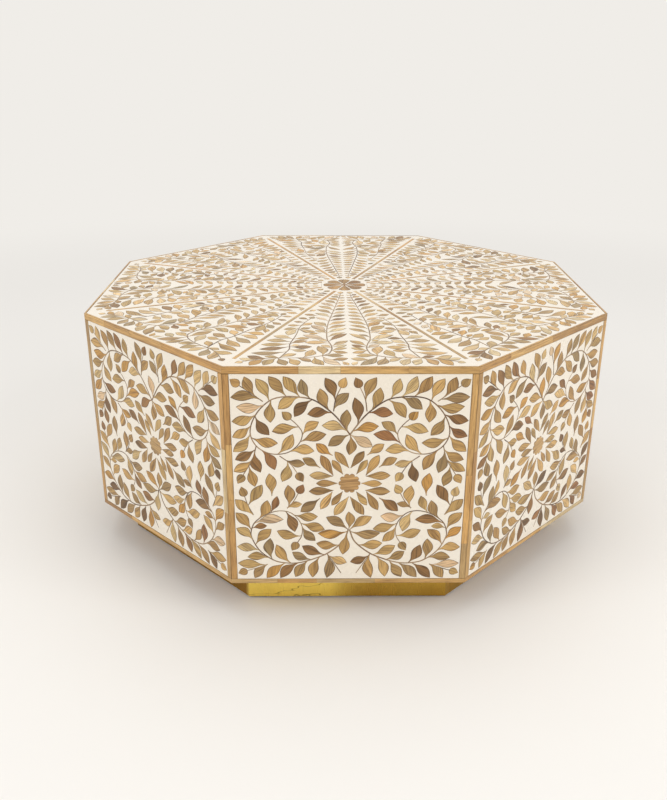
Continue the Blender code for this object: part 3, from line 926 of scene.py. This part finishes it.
edgingLook = {
    "bevel": 0.4 * mm, "endBevel": 0.1 * mm, "shortest": 0.055, "longest": 0.125, "lastShare": 1.5,
    "toneSpread": 0.07, "unevenness": 0.04 * mm, "grainShift": 30,
    "seeds": {"topRim": 402, "bottomRim": 321, "corner": 410, "divider": 500},
    "tones": [
        (tint(206, 162, 98), 30), (tint(196, 152, 90), 26), (tint(212, 172, 108), 14),
        (tint(226, 198, 148), 5), (tint(180, 136, 78), 12), (tint(190, 156, 104), 10),
    ],
}


def cutBlock():
    # a cube with bevelled edges and a fine border let into each face
    bevel, border = 0.1, 0.12
    blank = started(bpy.ops.mesh.primitive_cube_add, size=2)
    editAll()
    bpy.ops.mesh.bevel(offset=bevel, segments=1, affect="EDGES")
    leaveEdit()
    for face in blank.data.polygons:
        face.select = face.area > 1
    bpy.ops.object.mode_set(mode="EDIT")
    bpy.ops.mesh.select_mode(type="FACE")
    bpy.ops.mesh.inset(thickness=border, use_individual=True)
    leaveEdit()
    points, faces = takenApart(blank)
    signs = np.sign(points)
    offsets = (points - signs) / bevel
    # the border of each block takes the dark rim: a joint line with painted shade
    rim = np.where(np.abs(offsets).max(axis=1) > 1.5, 0.0, 1.0)
    return {"signs": signs, "offsets": offsets, "rim": rim, "faces": faces}


blockCut = cutBlock()


class Strip:
    # blocks of one wooden strip or frame, joined into one mesh
    def __init__(self, seed):
        self.rng = random.Random(seed)
        self.blocks = Gather()

    def block(self, matrix, ends, slopes, depth, span, spanSlopes):
        # X along the strip, Y into the table and Z across the strip; slopes mitre it on its way in
        look = edgingLook
        signs = blockCut["signs"]
        offsets = blockCut["offsets"] * (look["endBevel"], look["bevel"], look["bevel"])
        inward = (signs[:, 1] + 1) / 2 * depth
        far = (signs > 0).astype(int)
        x = np.array(ends)[far[:, 0]] + np.array(slopes)[far[:, 0]] * inward
        z = np.array(span)[far[:, 2]] + np.array(spanSlopes)[far[:, 2]] * inward
        points = np.column_stack((x, inward, z)) + offsets
        points[:, 1] += self.rng.uniform(0, 1) * look["unevenness"]
        grain = np.column_stack((points[:, 0], points[:, 2] + points[:, 1]))
        grain += self.rng.uniform(0, look["grainShift"])
        tone = shadedTone(self.rng, look["tones"], look["toneSpread"])
        points = points @ np.array(matrix.to_3x3()).T + np.array(matrix.translation)
        self.blocks.add(points, blockCut["faces"], grain, np.tile(tone, (len(points), 1)), blockCut["rim"])

    def run(self, matrix, ends, slopes, depth, span, spanSlopes=(0, 0)):
        # a length of strip, cut into blocks of unlike length
        look = edgingLook
        cuts = [ends[0]]
        while ends[1] - cuts[-1] > look["longest"] * look["lastShare"]:
            cuts.append(cuts[-1] + self.rng.uniform(look["shortest"], look["longest"]))
        cuts.append(ends[1])
        for first, last in zip(cuts, cuts[1:]):
            ownSlopes = (slopes[0] if first == ends[0] else 0, slopes[1] if last == ends[1] else 0)
            self.block(matrix, (first, last), ownSlopes, depth, span, spanSlopes)

    def lay(self, name, node):
        dress(self.blocks.made(name), name, edgingWood, "edging_wood", node)


def faceMatrix(index):
    # X along the face, Y into the table and Z up, from the floor under the face
    turn = facetTurn(index)
    matrix = Matrix.Rotation(turn, 4, "Z")
    matrix.translation = outOfFace(turn) * apothem
    return matrix


edgingDepth = apothem - coreApothem - seam


def makeRim(name, node, seed, low, high):
    strip = Strip(seed)
    for index in range(sides):
        strip.run(faceMatrix(index), (-halfFace, halfFace), (mitre, -mitre), edgingDepth, (low, high))
    strip.lay(name, node)


def makeCornerStrips():
    # two upright strips meet in a mitre on each corner
    upright = Matrix(((0, 0, -1), (0, 1, 0), (1, 0, 0))).to_4x4()
    height = (fieldLow.z, fieldHigh.z)
    inner = fieldHalfWidth + seam
    for index in range(sides):
        strip = Strip(edgingLook["seeds"]["corner"] + index)
        rightEnd = faceMatrix(index) @ upright
        leftEnd = faceMatrix(index + 1) @ upright
        strip.run(rightEnd, height, (0, 0), edgingDepth, (-halfFace, -inner), (mitre, 0))
        strip.run(leftEnd, height, (0, 0), edgingDepth, (inner, halfFace), (0, -mitre))
        strip.lay(f"cornerEdging{index + 1}", f"corner_strip_{index + 1}")


def makeDividers():
    for index in range(sides):
        strip = Strip(edgingLook["seeds"]["divider"] + index)
        out = outOfFace(facetTurn(index) + halfSector)
        down = Vector((0, 0, -1))
        matrix = Matrix((out, down, out.cross(down))).transposed().to_4x4()
        matrix.translation = Vector((0, 0, topZ))
        strip.run(matrix, (dividerInner, dividerOuter), (0, 0), topZ - coreTop - seam,
                  (-dividerWidth / 2, dividerWidth / 2))
        strip.lay(f"divider{index + 1}", f"top_divider_{index + 1}")


makeRim("topEdging", "top_rim", edgingLook["seeds"]["topRim"], topRimLow, topZ)
makeRim("bottomEdging", "bottom_rim", edgingLook["seeds"]["bottomRim"], bottomRimLow, bottomRimHigh)
makeCornerStrips()
makeDividers()
print("edging laid")


# Resin sheets that hold the chips

sheetLook = {"cuts": 15, "bevel": 0.25 * mm, "swell": 0.05 * mm, "swellScale": 14}


def eased(sheet):
    return applied(sheet, "BEVEL", width=sheetLook["bevel"], segments=2, limit_method="ANGLE")


def makeSheet(corners, top, bottom):
    # a plane drawn out to four corners, divided, gently uneven, thickened and eased at its edges
    sheet = started(bpy.ops.mesh.primitive_plane_add, size=2)
    for vertex in sheet.data.vertices:
        left, near = vertex.co.x < 0, vertex.co.y < 0
        vertex.co = (*corners[(0 if left else 1) if near else (3 if left else 2)], top)
    editAll()
    bpy.ops.mesh.subdivide(number_cuts=sheetLook["cuts"])
    leaveEdit()
    for vertex in sheet.data.vertices:
        wave = 0.5 + 0.5 * noise.noise(vertex.co * sheetLook["swellScale"])
        vertex.co.z -= sheetLook["swell"] * wave
    applied(sheet, "SOLIDIFY", thickness=top - bottom, offset=-1)
    return eased(sheet)


def addField(inlay, matrix, name, sheet, node):
    dress(copied(sheet, matrix), name + "Resin", resin, "inlay_resin", node)
    dress(inlay.leaves.made(name + "Leaves", matrix), name + "Leaves", leafWood, "edging_wood")
    if inlay.stems.parts:
        dress(inlay.stems.made(name + "Stems", matrix), name + "Stems", stemWood, "edging_wood")


def layFields(name, node, sheet, inlayOf, matrixOf, fill):
    for index in range(sides):
        number = index + 1
        addField(inlayOf(index, fill), matrixOf(index), f"{name}{number}", sheet, f"{node}_{number}")
    bpy.data.objects.remove(sheet)


def makeSides():
    width, height = fieldHalfWidth, fieldHalfHeight
    corners = [(-width, -height), (width, -height), (width, height), (-width, height)]
    sheet = makeSheet(corners, -chipLook["resinDepth"], -edgingDepth)
    # the gaps are filled once and the leaves for them used on every side
    strokes = sideInlay(0, []).fill(sideMotif["fill"], sideRoom)
    fill = [(*foot / mm, *tip / mm) for foot, tip, rooted in strokes]
    layFields("side", "side_inlay", sheet, sideInlay, sideMatrix, fill)


def makeTop():
    inner, outer = rosetteApothem + seam, coreApothem
    corners = [(-outer * mitre, -outer), (outer * mitre, -outer),
               (inner * mitre, -inner), (-inner * mitre, -inner)]
    sheet = makeSheet(corners, -chipLook["resinDepth"], coreTop + seam - topZ)
    fill = topInlay(0, []).fill(topMotif["fill"], topRoom)
    layFields("top", "top_inlay", sheet, topInlay, topMatrix, fill)


makeSides()
print("side fields inlaid")
makeTop()
print("top fields inlaid")


# Rosette in the middle of the top

rosetteLook = {
    "seed": 600, "petals": 8, "hub": 11 * mm, "foot": 4 * mm, "reach": 41 * mm, "width": 23 * mm,
    "tones": [(tint(168, 124, 68), 4), (tint(150, 108, 58), 3), (tint(182, 140, 84), 3)],
}


def makeRosette():
    low, high = coreTop + seam - topZ, -chipLook["resinDepth"]
    sheet = started(bpy.ops.mesh.primitive_circle_add, vertices=sides, radius=rosetteApothem / cosine,
                    fill_type="NGON", location=(0, 0, low), rotation=(0, 0, halfSector))
    editAll()
    bpy.ops.mesh.extrude_region_move(TRANSFORM_OT_translate={"value": (0, 0, high - low)})
    closeShell()
    bpy.ops.object.transform_apply(location=True, rotation=True, scale=True)
    eased(sheet)

    look = rosetteLook
    inlay = Inlay(look["seed"], look["tones"])
    for k in range(look["petals"]):
        angle = k * math.tau / look["petals"] - math.pi / 2
        out = Vector((math.cos(angle), math.sin(angle)))
        inlay.stamp("lobe", out * look["foot"], out * look["reach"], look["width"])
    half = Vector((look["hub"] / 2, 0))
    inlay.stamp("disc", -half, half, look["hub"])
    addField(inlay, topMatrix(0), "rosette", sheet, "top_rosette")
    bpy.data.objects.remove(sheet)


makeRosette()
print("rosette set")


# Brass sheet folded round the plinth

brassLook = {
    "cuts": 39, "thickness": 0.4 * mm, "dent": 0.35 * mm, "dentScale": 34, "dentBias": 0.2,
    "cornerPower": 10, "edgeRise": 6, "smoothAngle": 25,
    # a fold along each left sheet: its depth, its height as a share and how that and the depth vary
    "fold": 0.35 * mm, "foldLine": 0.55, "foldWander": 0.15, "foldScale": 14, "foldRise": 0.06,
    "foldLeast": 0.2, "foldMean": 0.6, "foldSwing": 6,
    "seamColumns": [16, 25, 12, 22, 27, 14, 21, 11], "seamHalf": 0.0015, "lap": 0.3 * mm,
    # painted light and shade: how lit the left and the right sheet of each face look, and how the first runs
    # into the second
    "polish": [(1.0, 0.2), (0.2, 0.1), (0.7, 0.2), (0.3, 0.8), (0.9, 0.3), (0.25, 0.6), (0.7, 0.15),
               (0.1, 0.0)],
    "fade": 0.17, "fadeShare": 0.95,
}


def makeBrass():
    # a ring of eight faces, each clad with two sheets: the left one laps over the right one at a seam
    look = brassLook
    low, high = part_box("brass_band")
    reach, tall = high.x, high.z - low.z
    halfWidth = reach * mitre
    pitch = 2 / (look["cuts"] + 1)
    band = started(bpy.ops.mesh.primitive_cylinder_add, vertices=sides, radius=reach / cosine, depth=tall,
                   end_fill_type="NOTHING", location=(0, 0, low.z + tall / 2), rotation=(0, 0, halfSector))
    bpy.ops.object.transform_apply(location=True, rotation=True, scale=True)
    editAll()
    bpy.ops.mesh.subdivide(number_cuts=look["cuts"])
    leaveEdit()

    shine = band.data.attributes.new("polish", "FLOAT", "POINT")
    for vertex in band.data.vertices:
        spot = vertex.co.copy()
        facet = round(math.atan2(spot.x, -spot.y) / (2 * halfSector)) % sides
        turn = facetTurn(facet)
        level, out = alongFace(turn), outOfFace(turn)
        across = spot.dot(level) / halfWidth
        share = (spot.z - low.z) / tall
        seamAt = (look["seamColumns"][facet] + 0.5) * pitch - 1
        over = across < seamAt
        if abs(across - seamAt) < pitch:
            across = seamAt - look["seamHalf"] if over else seamAt + look["seamHalf"]
        # painted light: each sheet takes its own lit share, and the right sheet takes on the left sheet's
        # painted light near the seam
        near, far = look["polish"][facet]
        fade = look["fadeShare"] * math.exp((seamAt - across) / look["fade"])
        shine.data[vertex.index].value = near if over else far + (near - far) * fade

        corner = 1 - abs(across) ** look["cornerPower"]
        inner = corner * min(1.0, share * look["edgeRise"], (1 - share) * look["edgeRise"])
        depth = 0 if over else look["lap"] * corner
        depth += max(0.0, noise.noise(spot * look["dentScale"]) + look["dentBias"]) * look["dent"] * inner
        if over:
            line = look["foldLine"] + look["foldWander"] * noise.noise(spot * look["foldScale"])
            step = clamped((share - line) / look["foldRise"])
            swing = noise.noise(spot * look["foldSwing"]) + look["foldMean"]
            depth += step * look["fold"] * inner * max(look["foldLeast"], swing)
        vertex.co = out * (reach - depth) + level * across * halfWidth + Vector((0, 0, spot.z))
    applied(band, "SOLIDIFY", thickness=look["thickness"], offset=-1)
    onlySelect(band)
    bpy.ops.object.shade_smooth_by_angle(angle=math.radians(look["smoothAngle"]))
    dress(band, "brassBand", brass, "plinth_brass", "brass_band")


makeBrass()
print("brass folded")

# Boards and glides keep their shapes from the frame and get their finish
for name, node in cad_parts.items():
    if not node.hide_render:
        node.data.materials.clear()
        node.data.materials.append(glides if name.startswith("glide") else boards)
print("boards and glides finished")


# Stage, light and camera

stageLook = {
    "pale": tint(240, 237, 232), "floorSize": 40.0, "floorGloss": 0.6, "fade": (1.2, 3.2), "ambient": 0.62,
    "lamps": [
        {"name": "key", "place": (-2.9, -2.1, 2.5), "size": 2.4, "power": 47},
        {"name": "fill", "place": (2.9, -2.1, 2.3), "size": 2.4, "power": 55},
        {"name": "over", "place": (0.0, 0.6, 3.2), "size": 3.0, "power": 28},
    ],
}


def seenRays(finish):
    names = ("Is Camera Ray", "Is Glossy Ray", "Is Transmission Ray")
    camera, glossy, through = (finish.node("ShaderNodeLightPath", output=name) for name in names)
    return camera + glossy + through


def makeStage():
    look = stageLook
    floor = started(bpy.ops.mesh.primitive_plane_add, size=look["floorSize"])
    floor.name = "floor"
    finish = newFinish("studioFloor")
    finish.set(baseColor=look["pale"], roughness=look["floorGloss"])
    length = {"operation": "LENGTH"}
    distance = finish.node("ShaderNodeVectorMath", length, {0: finish.place()}, output="Value")
    near, far = look["fade"]
    fade = finish.node("ShaderNodeMapRange", {"interpolation_type": "SMOOTHSTEP"},
                       {"Value": distance, "From Min": near, "From Max": far})
    plain = finish.node("ShaderNodeEmission", inputs={"Color": look["pale"]})
    lit = Wire(finish, finish.shader.outputs[0])
    finish.show("Material Output", fade * seenRays(finish), lit, plain)
    floor.data.materials.append(finish.owner)

    for lamp in look["lamps"]:
        bpy.ops.object.light_add(type="AREA", location=lamp["place"])
        light = bpy.context.object
        light.name = lamp["name"]
        light.data.size = lamp["size"]
        light.data.energy = lamp["power"]
        light.visible_glossy = False  # gloss shows the backdrop, with no glare over the pattern
        target = Vector((0, 0, topZ / 2))
        light.rotation_euler = (target - light.location).to_track_quat("-Z", "Y").to_euler()

    # the backdrop looks as pale as the floor, and lights the table less than that
    studio = Finish(bpy.data.worlds.new("studio"))
    ambient = studio.node("ShaderNodeBackground", inputs={"Color": (1, 1, 1, 1), "Strength": look["ambient"]})
    backdrop = studio.node("ShaderNodeBackground", inputs={"Color": look["pale"]})
    studio.show("World Output", seenRays(studio), ambient, backdrop)
    bpy.context.scene.world = studio.owner
    bpy.context.scene.view_settings.view_transform = "Standard"


# The photograph's viewpoint
cameraLook = {
    "place": (-0.0377, -1.6450, 0.8843), "yaw": 0.606, "pitch": 22.648, "roll": 0.209, "lens": 39.05,
}


def makeCamera():
    look = cameraLook
    yaw, pitch, roll = (math.radians(look[name]) for name in ("yaw", "pitch", "roll"))
    forward = Vector((math.sin(yaw) * math.cos(pitch), math.cos(yaw) * math.cos(pitch), -math.sin(pitch)))
    level = Vector((math.cos(yaw), -math.sin(yaw), 0))
    right = level * math.cos(roll) + level.cross(forward) * math.sin(roll)
    data = bpy.data.cameras.new("camera")
    data.lens = look["lens"]
    camera = bpy.data.objects.new("camera", data)
    bpy.context.scene.collection.objects.link(camera)
    matrix = Matrix((right, right.cross(forward), -forward)).transposed().to_4x4()
    matrix.translation = Vector(look["place"])
    camera.matrix_world = matrix
    bpy.context.scene.camera = camera


makeStage()
makeCamera()
print("stage lit, camera set")
